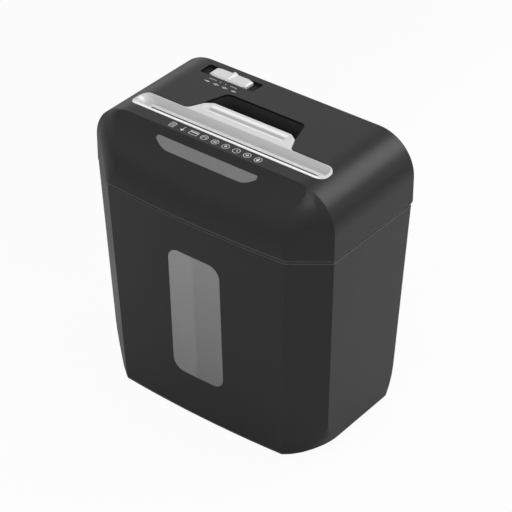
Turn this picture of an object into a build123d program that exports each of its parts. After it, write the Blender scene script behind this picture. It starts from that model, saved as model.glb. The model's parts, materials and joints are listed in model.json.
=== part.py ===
from build123d import *
import math
import os

# Paper shredder: a shredding head with a lifting grip, standing on a tapered waste bin.
# Millimetres. +X is the user's right, +Y the back, +Z up. The origin is on the floor under the middle.

# Bin
foot_height = 2.0
foot_radius = 7.0
foot_depth = 3.0
foot_inset = 57.0
foot_rear_inset = 16.0
bin_height = 258.0
bin_wall = 2.2
bin_floor = 2.5
bin_base_radius = 6.3
base_round_steps = 3
bin_rim_chamfer = 0.8

# Lower end of the bin: its sides sweep up from the base, and its corners round off towards the base
sweep_middle_x = 86.0
sweep_radius = 112.5
sweep_drop = 0.56
blend_height = 51.0
blend_steps = 4
side_blend_share = 0.85
rear_blend_radius = 22.0

# Plan of the bin's mouth: front crease, corner facet, side, back
mouth_crease_x = 116.1
mouth_crease_y = -85.1
mouth_side_x = 154.8
mouth_side_y = -55.0
mouth_rear_y = 81.2
mouth_bow = 4.5
mouth_bulge = 0.3
mouth_corner_radius = 4.0

# Plan of the bin's base, in the same order
base_crease_x = 107.1
base_crease_y = -76.6
base_side_x = 145.0
base_side_y = -46.3
base_rear_y = 72.4
base_bow = 4.1
base_bulge = 0.3
base_corner_radius = 6.0

# Window in the front of the bin
window_width = 68.4
window_low = 59.2
window_high = 219.4
window_corner_radius = 14.5
window_thickness = 1.6
window_recess = 0.4
window_gap = 0.15

# Head shell
seam_gap = 0.3
head_height = 78.4
side_overhang = 0.4
shoulder_radius = 45.5
rear_overhang = 1.6
head_rear_fillet = 3.0
head_wall = 2.5
head_tuck = 1.8
head_tuck_height = 3.4
band_overhang = 0.5
front_low_lean = 2.0
front_bow_radius = 1500.0
bow_least = 0.05
facet_angle = 37.7
front_sections = 7
soft_radius = 60.0
soft_sections = 9
soft_lift = 0.12
soft_tip = 6.0
soft_end = 2.0
screw_block_width = 9.0
screw_block_reach = 5.5
screw_block_height = 18.0

# Bare plate on the front of the head
badge_top_half_width = 70.3
badge_low_half_width = 53.0
badge_top = 331.2
badge_low = 321.0
badge_top_radius = 2.0
badge_low_radius = 30.0
badge_proud = 0.4
badge_seat = 0.9
badge_gap = 0.15

# Paper throat and grip, one silver piece
throat_half_length = 111.0
throat_gap = 2.8
throat_y = -18.2
throat_depth = 13.3
throat_shelf = 3.3
throat_neck = 6.0
throat_corner = 1.3
trim_half_length = 125.0
trim_front_y = -39.2
trim_rear_y = -11.6
trim_end_radius = 12.0
trim_rim = 1.3
trim_front_rim = 3.6
trim_wall = 2.4
trim_gap = 0.2
grip_root_half_width = 67.5
grip_shoulder_half_width = 59.0
grip_shoulder_y = 6.3
grip_rear_half_width = 50.0
grip_rear_y = 12.4
grip_thickness = 7.0
grip_edge = 1.6
grip_valley_radius = 7.0
grip_corner_radius = 5.0
groove_half_length = 48.7
groove_radius = 13.5
groove_depth = 1.8
groove_y = 1.7
trim_skirt = 5.0

# Finger recess behind and below the grip
well_rear_half_width = 50.4
well_front_half_width = 60.0
well_rear_y = 35.6
well_flare_y = 5.5
well_front_y = 0.0
well_depth = 24.0
well_wall = 1.6
well_corner_radius = 8.0

# Mode switch
tray_left_x = -104.0
tray_right_x = -32.0
tray_front_y = 53.4
tray_rear_y = 72.0
tray_corner = 1.8
tray_wall = 1.4
tray_depth = 3.4
tray_floor = 1.6
knob_length = 48.6
knob_width = 16.6
knob_cut_length = 6.0
knob_cut_width = 2.0
knob_proud = 4.0
knob_base_height = 4.6
knob_chamfer = 1.5
knob_ridge_rear_length = 14.0
knob_ridge_front_length = 4.0
knob_ridge_top = 0.8
knob_ridge_front_rise = 0.6
knob_travel = 8.5
knob_gap = 0.4
knob_neck_length = 8.0
knob_neck_width = 4.0
knob_neck_depth = 9.0
switch_length = 34.0
switch_width = 15.0
switch_height = 13.0

# Lower deck of the head
deck_inset = 4.6
deck_thickness = 3.0
skirt_inset = 6.4
skirt_wall = 2.0
skirt_depth = 16.0
outlet_plate_gap = 1.5
outlet_front_y = -46.0
outlet_rear_y = 15.5

# Cutters
shaft_z = 289.0
shaft_spacing = 27.0
shaft_flats = 14.0
journal_radius = 5.0
disc_radius = 16.0
disc_thickness = 3.7
disc_pitch = 8.0
disc_end_room = 10.0
disc_hub_radius = 10.4
disc_teeth = 3
disc_notch = 2.2
disc_notch_length = 6.6
disc_bore_gap = 0.1
bush_radius = 8.0
bush_proud = 1.0
running_gap = 0.05
seat_gap = 0.02
end_play = 0.4

# Frame of the cutting block
gear_room = 41.3
plate_thickness = 2.5
plate_front_y = -60.0
plate_rear_y = 26.0
motor_plate_rear_y = 76.0
plate_height = 48.0
plate_corner = 5.0
tab_length = 11.0
tab_width = 10.0
tab_thickness = 2.0
rod_radius = 3.0
rod_front_y = -49.5
rod_rear_y = 19.0
rod_low = 272.5
rod_high = 307.5
nut_flats = 9.0
nut_thickness = 4.0

# Combs that clear the discs
comb_bar_y = 19.0
comb_bar_thickness = 5.0
comb_height = 16.0
comb_finger = 3.0
comb_hub_gap = 0.8

# Gears
pressure_angle = 25.0
addendum = 0.8
dedendum = 1.05
backlash = 0.16
flank_steps = 3
sync_module = 1.5
sync_teeth = 18
final_module = 1.25
final_teeth = 33
second_pinion_teeth = 11
second_module = 1.0
second_teeth = 34
first_pinion_teeth = 10
first_module = 0.8
first_teeth = 36
motor_teeth = 10
gear_layer_gap = 1.0
final_width = 8.0
second_width = 6.0
first_width = 5.0
sync_width = 8.0
gear_start_gap = 2.0
gear_pin_radius = 3.0
second_gear_angle = 22.0
gear_cover_wall = 1.8
gear_cover_corner = 8.0
gear_tip_gap = 0.7

# Motor
motor_radius = 21.0
motor_length = 66.0
motor_y = 51.6
motor_z = 288.5
motor_wall = 1.2
motor_cap_thickness = 3.0
motor_shaft_radius = 2.0
motor_hole_radius = 4.0
armature_radius = 13.5
armature_length = 40.0
magnet_thickness = 3.6
magnet_gap = 8.0
motor_screw_pitch_radius = 12.0

# Control board and what stands on it
board_x = -70.0
board_y = 56.0
board_length = 62.0
board_width = 34.0
board_thickness = 1.6
board_standoff = 5.0
standoff_radius = 3.2
board_screw_gap = 1.0
board_screw_inset = 4.0
capacitor_x = -85.5
capacitor_radius = 6.5
capacitor_height = 22.0
relay_x = -54.5
relay_length = 19.0
relay_width = 15.5
relay_height = 15.0

# Paper sensor
sensor_x = 80.0
sensor_bracket_width = 16.0
sensor_bracket_thickness = 2.0
sensor_bracket_y = 9.0
sensor_switch_width = 11.0
sensor_ear_gap = 0.5
sensor_switch_depth = 9.0
sensor_switch_height = 11.0
sensor_switch_z = 307.0
lever_pivot_y = -5.5
lever_pivot_z = 312.0
lever_pivot_radius = 1.2
lever_hub_radius = 2.6
lever_width = 4.0
lever_thickness = 2.0
lever_ear = 2.0

# Bin switch
plunger_inset = 35.4
plunger_y = 40.0
plunger_radius = 2.5
plunger_length = 26.0
plunger_collar_radius = 4.0
plunger_collar_height = 2.0
plunger_guide_radius = 5.0
plunger_guide_height = 12.0
plunger_travel = 2.5
plunger_rest = 2.0
plunger_gap = 0.3
post_width = 12.0
post_depth = 6.0
post_gap = 0.3
post_notch_gap = 1.0
bin_switch_width = 12.0
bin_switch_depth = 20.0
bin_switch_height = 11.0
bin_switch_leg_gap = 1.0

# Cord gland in the back of the head
gland_inset = 54.8
gland_z = 278.0
gland_radius = 8.0
gland_bore = 4.0
gland_flange = 2.0
gland_lip = 1.5

# Screws
screw_radius = 1.6
screw_head_radius = 3.2
screw_head_height = 2.0
screw_reach = 9.0
cover_screw_inset = 13.4
cover_screw_front_y = -42.0
cover_screw_rear_y = 66.0

# Room left round the part by bodies that only cut, and how far they pass a face
margin = 40.0
over = 1.0
least_radius = 0.5
pick_gap = 0.01

seam_z = foot_height + bin_height
head_low = seam_z + seam_gap
head_top = seam_z + head_height
head_half_width = mouth_side_x + side_overhang
head_rear_y = mouth_rear_y + rear_overhang
band_front_y = mouth_side_y - band_overhang
front_centre_y = mouth_crease_y - mouth_bow
middle_y = (front_centre_y + head_rear_y) / 2
shoulder_z = head_top - shoulder_radius
shoulder_x = head_half_width - shoulder_radius
deck_top = head_low + deck_thickness
gland_x = gland_inset - head_half_width
plunger_x = plunger_inset - mouth_side_x
cover_screw_x = mouth_side_x - cover_screw_inset
plate_inner_x = head_half_width - gear_room
plate_outer_x = plate_inner_x + plate_thickness
outlet_half_length = plate_inner_x - outlet_plate_gap
disc_count = int((2 * plate_inner_x - disc_end_room) / disc_pitch)
front_shaft_y = throat_y - shaft_spacing / 2
rear_shaft_y = throat_y + shaft_spacing / 2


def mix(low, high, share):
    return low + (high - low) * share


def block(x, y, z):
    """Box between two limits on each axis."""
    size = [b - a for a, b in (x, y, z)]
    middle = [(a + b) / 2 for a, b in (x, y, z)]
    return Pos(*middle) * Box(*size)


def rod_x(start, end, y, z, radius):
    """Cylinder along X."""
    return Pos((start + end) / 2, y, z) * Rot(0, 90, 0) * Cylinder(radius, end - start)


def rod_y(start, end, x, z, radius):
    """Cylinder along Y."""
    return Pos(x, (start + end) / 2, z) * Rot(90, 0, 0) * Cylinder(radius, end - start)


def rod_z(start, end, x, y, radius):
    """Cylinder along Z."""
    return Pos(x, y, (start + end) / 2) * Cylinder(radius, end - start)


def side_plane(x):
    """Plane across X, drawn in Y and Z."""
    return Plane(origin=(x, 0, 0), x_dir=(0, 1, 0), z_dir=(1, 0, 0))


def prism(points, low, high):
    """Upright prism on a plan polygon."""
    face = make_face(Polyline(*points, close=True))
    return Pos(0, 0, low) * extrude(face, high - low, dir=(0, 0, 1))


def mirrored(points):
    """Plan outline from its right half, front to back."""
    return list(points) + [(-x, y) for x, y in reversed(points)]


def unit(start, end):
    length = math.dist(start, end)
    return ((end[0] - start[0]) / length, (end[1] - start[1]) / length)


def inset_corner(before, corner, after, inset):
    """Corner of an outline whose two sides move inwards, going anticlockwise."""
    first = unit(before, corner)
    second = unit(corner, after)
    scale = inset / (1 + first[0] * second[0] + first[1] * second[1])
    return (corner[0] - (first[1] + second[1]) * scale, corner[1] + (first[0] + second[0]) * scale)


def round_corner(corner, toward_first, toward_second, radius):
    """Start, middle and end of the arc that rounds a corner."""
    opening = math.acos(toward_first[0] * toward_second[0] + toward_first[1] * toward_second[1])
    reach = radius / math.tan(opening / 2)
    rise = radius / math.sin(opening / 2) - radius
    bisector = unit((0, 0), (toward_first[0] + toward_second[0], toward_first[1] + toward_second[1]))
    start = (corner[0] + toward_first[0] * reach, corner[1] + toward_first[1] * reach)
    middle = (corner[0] + bisector[0] * rise, corner[1] + bisector[1] * rise)
    end = (corner[0] + toward_second[0] * reach, corner[1] + toward_second[1] * reach)
    return start, middle, end


def outline_wire(height, half):
    """Closed wire from the right half of a plan: pieces of two points are lines, of three are arcs."""
    other_half = [[(-x, y) for x, y in reversed(piece)] for piece in reversed(half[1:-1])]
    edges = []
    for piece in half + other_half:
        points = [(x, y, height) for x, y in piece]
        edges.append(Line(*points) if len(points) == 2 else ThreePointArc(*points))
    return Wire(edges)


def bin_wire(height, inset=0.0):
    """Plan of the bin at a height."""
    share = (height - foot_height) / bin_height
    crease = (mix(base_crease_x, mouth_crease_x, share), mix(base_crease_y, mouth_crease_y, share))
    side = (mix(base_side_x, mouth_side_x, share), mix(base_side_y, mouth_side_y, share))
    rear = (side[0], mix(base_rear_y, mouth_rear_y, share))
    bow = mix(base_bow, mouth_bow, share)
    bulge = mix(base_bulge, mouth_bulge, share)
    blend = max(1 - (height - foot_height) / blend_height, 0.0) ** 2
    radius = mix(base_corner_radius, mouth_corner_radius, share) + rear_blend_radius * blend
    other_crease = (-crease[0], crease[1])
    other_rear = (-rear[0], rear[1])
    front_corner = inset_corner(other_crease, crease, side, inset)
    side_corner = inset_corner(crease, side, rear, inset)
    rear_corner = inset_corner(side, rear, other_rear, inset)
    toward_front = unit(side_corner, front_corner)
    toward_rear = unit(side_corner, rear_corner)
    facet_length = math.dist(front_corner, side_corner)
    half_opening = math.acos(toward_front[0] * toward_rear[0] + toward_front[1] * toward_rear[1]) / 2
    side_radius = side_blend_share * blend * facet_length * math.tan(half_opening) - inset
    side_arc = round_corner(side_corner, toward_front, toward_rear, max(side_radius, least_radius))
    bulge *= (math.dist(front_corner, side_arc[0]) / facet_length) ** 2
    facet_middle = (
        (front_corner[0] + side_arc[0][0]) / 2 - toward_front[1] * bulge,
        (front_corner[1] + side_arc[0][1]) / 2 + toward_front[0] * bulge,
    )
    radius = max(radius - inset, least_radius)
    arc = round_corner(rear_corner, unit(rear_corner, side_corner), (-1, 0), radius)
    half = [
        [(-front_corner[0], front_corner[1]), (0, front_corner[1] - bow), front_corner],
        [front_corner, facet_middle, side_arc[0]],
        list(side_arc),
        [side_arc[2], arc[0]],
        list(arc),
        [arc[2], (-arc[2][0], arc[2][1])],
    ]
    return outline_wire(height, half)


def bin_solid(low, high, inset):
    return Solid.make_loft([bin_wire(low, inset), bin_wire(high, inset)], True)


def base_levels(low, radius):
    """Heights and insets of the bin's lower end: its rounded base edge, then its blended corners."""
    turns = [math.pi / 2 * (1 - step / base_round_steps) for step in range(base_round_steps + 1)]
    levels = [(low + radius * (1 - math.sin(turn)), radius * (1 - math.cos(turn))) for turn in turns]
    blends = [foot_height + blend_height * (step + 1) / blend_steps for step in range(blend_steps)]
    return levels + [(height, 0.0) for height in blends]


def bin_body():
    """Outer form of the bin, with a rounded base and a chamfered rim."""
    levels = base_levels(foot_height, bin_base_radius)
    levels += [(seam_z - bin_rim_chamfer, 0.0), (seam_z, bin_rim_chamfer)]
    return Solid.make_loft([bin_wire(*level) for level in levels], True) - side_sweeps(0)


def bin_inside():
    """Room in the bin, open at the top."""
    levels = base_levels(foot_height + bin_floor, bin_base_radius - bin_wall) + [(seam_z + over, 0.0)]
    room = Solid.make_loft([bin_wire(height, bin_wall + inset) for height, inset in levels], True)
    return room - side_sweeps(bin_floor)


def side_sweeps(inset):
    """What is taken away where the base sweeps up to the two sides."""
    radius = sweep_radius - inset
    centre_z = foot_height - sweep_drop + sweep_radius
    far_x = mouth_side_x
    turn = math.asin((far_x - sweep_middle_x) / radius)
    low = foot_height - margin
    points = [
        (sweep_middle_x + radius * math.sin(turn * share), centre_z - radius * math.cos(turn * share))
        for share in (0.0, 0.5, 1.0)
    ]
    below = Polyline(points[2], (far_x, low), (sweep_middle_x, low), points[0])
    plane = Plane(origin=(0, base_rear_y + margin, 0), x_dir=(1, 0, 0), z_dir=(0, -1, 0))
    depth = base_rear_y - base_crease_y + 2 * margin
    cutter = extrude(plane * make_face([ThreePointArc(*points), *below.edges()]), depth)
    return [cutter, mirror(cutter, about=Plane.YZ)]


def window_prism(gap):
    """Rounded window outline, carried through the front wall."""
    height = window_high - window_low
    outline = RectangleRounded(window_width - 2 * gap, height - 2 * gap, window_corner_radius - gap)
    plane = Plane(origin=(0, 0, (window_low + window_high) / 2), x_dir=(1, 0, 0), z_dir=(0, -1, 0))
    return extrude(plane * outline, front_depth())


def front_depth():
    """Far enough to pass the front wall anywhere."""
    return -front_centre_y + margin


def post_top():
    return head_low - plunger_gap_below_deck() - post_gap


def plunger_gap_below_deck():
    """How far the plunger's tip hangs below the deck."""
    return plunger_travel + plunger_rest


def make_bin_shell():
    shell = bin_body() - bin_inside() - window_prism(0)
    shell -= [rod_z(foot_height - over, foot_depth, x, y, foot_radius) for x, y in foot_places()]
    wall_y = mouth_rear_y + margin
    post = block(
        (plunger_x - post_width / 2, plunger_x + post_width / 2),
        (plunger_y - post_depth / 2, wall_y),
        (post_top() - post_width, post_top()),
    )
    shell += post & bin_solid(foot_height + bin_floor, seam_z, bin_wall / 2)
    return shell


def foot_places():
    front_y = base_side_y
    rear_y = base_rear_y - foot_rear_inset
    x = base_side_x - foot_inset
    return [(side * x, y) for side in (-1, 1) for y in (front_y, rear_y)]


def make_bin_feet():
    return [rod_z(0, foot_depth, x, y, foot_radius) for x, y in foot_places()]


def make_bin_window():
    outer = bin_solid(foot_height + over, seam_z, window_recess)
    inner = bin_solid(foot_height, seam_z + over, window_recess + window_thickness)
    return (outer - inner) & window_prism(window_gap)


def front_y_at(height, inset):
    """Front of the head on its middle line: an arc from the seam to the top edge."""
    rise = head_top - seam_z
    run = band_front_y - front_centre_y
    chord = math.hypot(rise, run)
    half_turn = math.atan2(run, rise) - math.radians(front_low_lean)
    radius = chord / 2 / math.sin(half_turn)
    low = math.radians(front_low_lean)
    lean = math.asin(math.sin(low) + (height - seam_z) / radius)
    return front_centre_y + radius * (math.cos(low) - math.cos(lean)) + inset / math.cos(lean)


def front_bow(height, inset):
    """Foremost place and radius of the bow in the head's front at a height."""
    share = max((head_top - height) / (head_top - seam_z), 0.0)
    side_x = head_half_width + margin
    sag = side_x**2 / 2 / front_bow_radius * share + bow_least
    return front_y_at(height, inset) - bow_least, (side_x**2 + sag**2) / 2 / sag


def head_front(inset):
    """Solid behind the head's front: bowed at the seam, straight at the top edge."""
    side_x = head_half_width + margin
    rear_y = head_rear_y + margin
    wires = []
    for index in range(-1, front_sections + 1):
        height = mix(seam_z, head_top, index / (front_sections - 1))
        centre_y, radius = front_bow(height, inset)
        side_y = centre_y + radius - math.sqrt(radius**2 - side_x**2)
        left = (-side_x, side_y, height)
        right = (side_x, side_y, height)
        bow = ThreePointArc(left, (0, centre_y, height), right)
        back = Polyline(right, (side_x, rear_y, height), (-side_x, rear_y, height), left)
        wires.append(Wire([bow, *back.edges()]))
    return Solid.make_loft(wires, False)


def arch_face(inset, low, y):
    """Arched cross-section of the head."""
    x = head_half_width - inset
    top = head_top - inset
    radius = shoulder_radius - inset
    mid_reach = radius * math.sqrt(0.5)
    shoulder = ((x, shoulder_z), (x - radius + mid_reach, shoulder_z + mid_reach), (x - radius, top))
    other_shoulder = [(-a, b) for a, b in reversed(shoulder)]
    outline = make_face(
        [
            Polyline((-x, shoulder_z), (-x, low), (x, low), (x, shoulder_z)),
            ThreePointArc(*shoulder),
            Line(shoulder[-1], other_shoulder[0]),
            ThreePointArc(*other_shoulder),
        ]
    )
    return Plane(origin=(0, y, 0), x_dir=(1, 0, 0), z_dir=(0, -1, 0)) * outline


def head_arch(inset, low, front_y):
    """Arched prism of the head's band, rounded at the back."""
    rear_y = head_rear_y - inset
    solid = extrude(arch_face(inset, low, rear_y), rear_y - front_y)
    rear_edges = solid.faces().sort_by(Axis.Y)[-1].edges().filter_by(lambda e: e.center().Z > low + over)
    return fillet(rear_edges, max(head_rear_fillet - inset, least_radius))


def head_nose(inset, low, band_y):
    """The head in front of its band: the arch drawn in along both corner facets."""
    angle = math.radians(facet_angle)
    reach = (band_y - front_centre_y + margin) / math.sin(angle)
    face = arch_face(inset, low, band_y)
    right = extrude(face, reach, dir=(-math.cos(angle), -math.sin(angle), 0))
    left = extrude(face, reach, dir=(math.cos(angle), -math.sin(angle), 0))
    return right & left


def facet_start_y(inset):
    """Where the corner facets leave the sides of the band."""
    angle = math.radians(facet_angle)
    return band_front_y + inset * (1 - math.sin(angle)) / math.cos(angle) * math.tan(angle)


def crease_wire(height, inset):
    """What is taken off the crease between front and right facet, in plan at a height."""
    centre_y, bow_radius = front_bow(height, inset)
    bow_y = centre_y + bow_radius
    angle = math.radians(facet_angle)
    facet = (math.cos(angle), math.sin(angle))
    arch_rise = max(height - shoulder_z, 0.0)
    side_x = shoulder_x + math.sqrt((shoulder_radius - inset) ** 2 - arch_rise**2)
    side_y = facet_start_y(inset) - bow_y
    along = side_x * facet[0] + side_y * facet[1]
    reach = along + math.sqrt(along**2 + bow_radius**2 - side_x**2 - side_y**2)
    crease = (side_x - facet[0] * reach, side_y - facet[1] * reach)
    front = (crease[1] / bow_radius, -crease[0] / bow_radius)
    swell = math.sin(math.pi * (height - seam_z) / (head_top - seam_z))
    start, middle, end = round_corner(crease, facet, front, max(soft_radius * swell - inset, least_radius))
    outward = unit((facet[0] + front[0], facet[1] + front[1]), (0, 0))

    def lifted(point, lift):
        return (point[0] + outward[0] * lift, point[1] + outward[1] * lift + bow_y, height)

    start, middle, end = lifted(start, soft_lift), lifted(middle, 0), lifted(end, soft_lift)
    tip = lifted(crease, soft_tip)
    return Wire([ThreePointArc(start, middle, end), Line(end, tip), Line(tip, start)])


def soft_creases(inset):
    """What is taken away to soften the creases between the head's front and its facets."""
    low = seam_z + least_radius
    high = head_top - inset - soft_end
    heights = [mix(low, high, index / (soft_sections - 1)) for index in range(soft_sections)]
    cutter = Solid.make_loft([crease_wire(height, inset) for height in heights], False)
    return [cutter, mirror(cutter, about=Plane.YZ)]


def head_solid(inset, low):
    """Form of the whole head, open to a lower end."""
    band_y = facet_start_y(inset)
    solid = (head_arch(inset, low, band_y) + head_nose(inset, low, band_y)) & head_front(inset)
    return solid - soft_creases(inset)


def tuck_ring():
    """What the tucked-in lower edge of the head takes away."""
    band = block(
        (-head_half_width - margin, head_half_width + margin),
        (front_centre_y - margin, head_rear_y + margin),
        (head_low - over, head_low + head_tuck_height),
    )
    low_plan = plan_at(head_low - over, head_tuck)
    high_plan = plan_at(head_low + head_tuck_height + over, -head_tuck)
    return band - Solid.make_loft([low_plan, high_plan], True)


def plan_at(height, inset):
    """Plan of the bin's mouth, carried to another height."""
    return bin_wire(seam_z, inset).moved(Location((0, 0, height - seam_z)))


def cover_screw_places():
    return [
        (side * cover_screw_x, y)
        for side in (-1, 1)
        for y in (cover_screw_front_y, cover_screw_rear_y)
    ]


def make_head_cover():
    cover = head_solid(0, head_low) - head_solid(head_wall, head_low - over)
    cover -= tuck_ring()
    inner_x = head_half_width - head_wall / 2
    for x, y in cover_screw_places():
        side = math.copysign(1, x)
        limits = sorted((side * (cover_screw_x - screw_block_reach), side * inner_x))
        cover += block(
            limits,
            (y - screw_block_width / 2, y + screw_block_width / 2),
            (deck_top, deck_top + screw_block_height),
        )
        cover -= rod_z(deck_top - over, deck_top + screw_reach + over, x, y, screw_radius)
    opening = shoulder_radius + over
    cover -= Pos(0, 0, shoulder_z) * extrude(trim_plan(trim_gap), opening)
    cover -= Pos(0, 0, shoulder_z) * extrude(well_plan(0), opening)
    cover -= prism(tray_points(0), shoulder_z, head_top + over)
    cover -= badge_prism(0) & (head_solid(-over, seam_z) - head_solid(badge_seat, seam_z - over))
    gland_inner_y = head_rear_y - head_wall - over
    return cover - rod_y(gland_inner_y, head_rear_y + over, gland_x, gland_z, gland_radius)


def badge_prism(gap):
    """Boat-shaped outline of the badge, carried back through the front."""
    top_x = badge_top_half_width - gap
    low_x = badge_low_half_width - gap
    face = make_face(
        Polyline(
            (-top_x, badge_top - gap),
            (-low_x, badge_low + gap),
            (low_x, badge_low + gap),
            (top_x, badge_top - gap),
            close=True,
        )
    )
    corners = face.vertices()
    face = fillet(corners.filter_by(lambda v: v.Y < badge_low + over), badge_low_radius)
    face = fillet(face.vertices().group_by(Axis.Y)[-1], badge_top_radius)
    plane = Plane(origin=(0, band_front_y, 0), x_dir=(1, 0, 0), z_dir=(0, -1, 0))
    return extrude(plane * face, margin)


def make_badge_plate():
    skin = head_solid(-badge_proud, seam_z) - head_solid(badge_seat, seam_z - over)
    return skin & badge_prism(badge_gap)


def trim_plan(gap):
    """Plan of the throat trim and its grip, with soft inner and outer corners."""
    bar = Pos(0, (trim_rear_y + trim_front_y) / 2) * RectangleRounded(
        2 * trim_half_length, trim_rear_y - trim_front_y, trim_end_radius
    )
    grip = make_face(
        Polyline(
            *mirrored(
                [
                    (grip_root_half_width, trim_rear_y),
                    (grip_shoulder_half_width, grip_shoulder_y),
                    (grip_rear_half_width, grip_rear_y),
                ]
            ),
            (-grip_root_half_width, trim_rear_y - trim_rim),
            (grip_root_half_width, trim_rear_y - trim_rim),
            close=True,
        )
    )
    plan = bar + grip
    reach = trim_half_length - 2 * trim_end_radius
    valleys = plan.vertices().filter_by(lambda v: abs(v.Y - trim_rear_y) < pick_gap and abs(v.X) < reach)
    plan = fillet(valleys, grip_valley_radius)
    corners = plan.vertices().filter_by(lambda v: v.Y > grip_shoulder_y - pick_gap)
    plan = fillet(corners, grip_corner_radius)
    return offset(plan, gap) if gap else plan


def rounded_wire(x, front_y, rear_y, radius, height):
    face = Pos(0, (front_y + rear_y) / 2, height) * RectangleRounded(2 * x, rear_y - front_y, radius)
    return face.wire()


def make_throat_trim():
    groove_low = head_top - throat_depth
    slit = (throat_y - throat_gap / 2, throat_y + throat_gap / 2)
    shelf_y = slit[1] + throat_shelf
    foot = groove_low - throat_neck
    skirt = head_top - trim_skirt
    body_top = rounded_wire(trim_half_length, trim_front_y, trim_rear_y, trim_end_radius, skirt)
    body_low = rounded_wire(
        throat_half_length + trim_wall, slit[0] - trim_wall, shelf_y + trim_wall, trim_wall, foot
    )
    rim_x = trim_half_length - trim_rim
    rim_y = (trim_front_y + trim_front_rim, trim_rear_y - trim_rim)
    groove_wires = [
        rounded_wire(rim_x, *rim_y, trim_end_radius - trim_rim, head_top),
        rounded_wire(throat_half_length, slit[0], shelf_y, throat_corner, groove_low),
    ]
    top = Pos(0, 0, skirt) * extrude(trim_plan(0), trim_skirt)
    top += Pos(0, 0, head_top - grip_thickness) * extrude(trim_plan(0) & grip_side(), grip_thickness)
    top = fillet(top.faces().sort_by(Axis.Z)[-1].edges(), grip_edge)
    trim = (Solid.make_loft([body_top, body_low], True) + top) & head_arch(0, seam_z, front_centre_y)
    trim -= Solid.make_loft(groove_wires, True)
    trim -= block((-throat_half_length, throat_half_length), slit, (foot - over, groove_low + over))
    groove_z = head_top + groove_radius - groove_depth
    trim -= rod_x(-groove_half_length, groove_half_length, groove_y, groove_z, groove_radius)
    groove_end = Pos(groove_half_length, groove_y, groove_z) * Sphere(groove_radius)
    return trim - groove_end - mirror(groove_end, about=Plane.YZ)


def grip_side():
    """The half of the plan behind the throat."""
    depth = grip_rear_y - trim_rear_y + margin
    return Pos(0, trim_rear_y + depth / 2) * Rectangle(2 * trim_half_length, depth)


def well_plan(grow):
    """Plan of the finger recess."""
    plan = make_face(
        Polyline(
            *mirrored(
                [
                    (well_front_half_width, well_front_y),
                    (well_front_half_width, well_flare_y),
                    (well_rear_half_width, well_rear_y),
                ]
            ),
            close=True,
        )
    )
    plan = fillet(plan.vertices().group_by(Axis.Y)[-1], well_corner_radius)
    return offset(plan, grow) if grow else plan


def make_handle_well():
    floor = head_top - well_depth
    roof = head_top - head_wall
    well = Pos(0, 0, floor - well_wall) * extrude(well_plan(well_wall), roof - floor + well_wall)
    well -= Pos(0, 0, floor) * extrude(well_plan(0), well_depth)
    grip_low = head_top - grip_thickness - trim_gap
    return well - Pos(0, 0, grip_low) * extrude(trim_plan(trim_gap), grip_thickness)


def cut_rectangle(x_range, y_range, cut_x, cut_y):
    """Rectangle with its corners cut, going anticlockwise."""
    left, right = x_range
    front, rear = y_range
    return [
        (left + cut_x, front), (right - cut_x, front), (right, front + cut_y), (right, rear - cut_y),
        (right - cut_x, rear), (left + cut_x, rear), (left, rear - cut_y), (left, front + cut_y),
    ]


def tray_points(inset):
    """Plan of the switch's tray: a rectangle with cut corners."""
    x_range = (tray_left_x + inset, tray_right_x - inset)
    y_range = (tray_front_y + inset, tray_rear_y - inset)
    return cut_rectangle(x_range, y_range, tray_corner, tray_corner)


def tray_middle():
    return (tray_left_x + tray_right_x) / 2, (tray_front_y + tray_rear_y) / 2


def neck_slot(low, high, gap):
    """Room for the knob's neck over its whole travel."""
    x, y = tray_middle()
    reach = knob_neck_length / 2 + knob_travel + gap
    half_width = knob_neck_width / 2 + gap
    return block((x - reach, x + reach), (y - half_width, y + half_width), (low, high))


def make_switch_tray():
    floor = head_top - tray_depth
    tray = prism(tray_points(-tray_wall), floor - tray_floor, head_top - head_wall)
    tray -= prism(tray_points(0), floor, head_top)
    return tray - neck_slot(floor - tray_floor - over, floor + over, knob_gap)


def ridge_wire(x, y, length, top, low):
    """Cross-section of the knob's ridge."""
    foot = length / 2
    tip = knob_ridge_top / 2
    points = [(x - foot, y, low), (x + foot, y, low), (x + tip, y, top), (x - tip, y, top)]
    return Wire(Polyline(*points, close=True).edges())


def make_switch_knob():
    x, y = tray_middle()
    low = head_top - tray_depth + knob_gap
    high = head_top + knob_proud
    plate_top = low + knob_base_height
    x_range = (x - knob_length / 2, x + knob_length / 2)
    y_range = (y - knob_width / 2, y + knob_width / 2)
    base = prism(cut_rectangle(x_range, y_range, knob_cut_length, knob_cut_width), low, plate_top)
    base = chamfer(base.faces().sort_by(Axis.Z)[-1].edges(), knob_chamfer)
    ends = (
        (y - knob_width / 2 + knob_chamfer, knob_ridge_front_length, plate_top + knob_ridge_front_rise),
        (y + knob_width / 2 - knob_chamfer, knob_ridge_rear_length, high),
    )
    ridge = Solid.make_loft([ridge_wire(x, *end, plate_top - knob_chamfer) for end in ends], True)
    neck = block(
        (x - knob_neck_length / 2, x + knob_neck_length / 2),
        (y - knob_neck_width / 2, y + knob_neck_width / 2),
        (low - knob_neck_depth, low + over),
    )
    return base + ridge + neck


def make_mode_switch():
    x, y = tray_middle()
    high = head_top - tray_depth - tray_floor
    body = block(
        (x - switch_length / 2, x + switch_length / 2),
        (y - switch_width / 2, y + switch_width / 2),
        (high - switch_height, high),
    )
    return body - neck_slot(high - knob_neck_depth, high + over, knob_gap)


def standoff_places():
    x = board_length / 2 - board_screw_inset
    y = board_width / 2 - board_screw_inset
    return [(board_x + sx * x, board_y + sy * y) for sx in (-1, 1) for sy in (-1, 1)]


def tab_places():
    """Middle of each foot tab of the frame plates, for the right-hand plate."""
    return [plate_front_y + tab_width / 2, plate_rear_y - tab_width / 2]


def tab_screw_places():
    x = plate_inner_x - tab_length / 2
    return [(side * x, y) for side in (-1, 1) for y in tab_places()]


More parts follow.
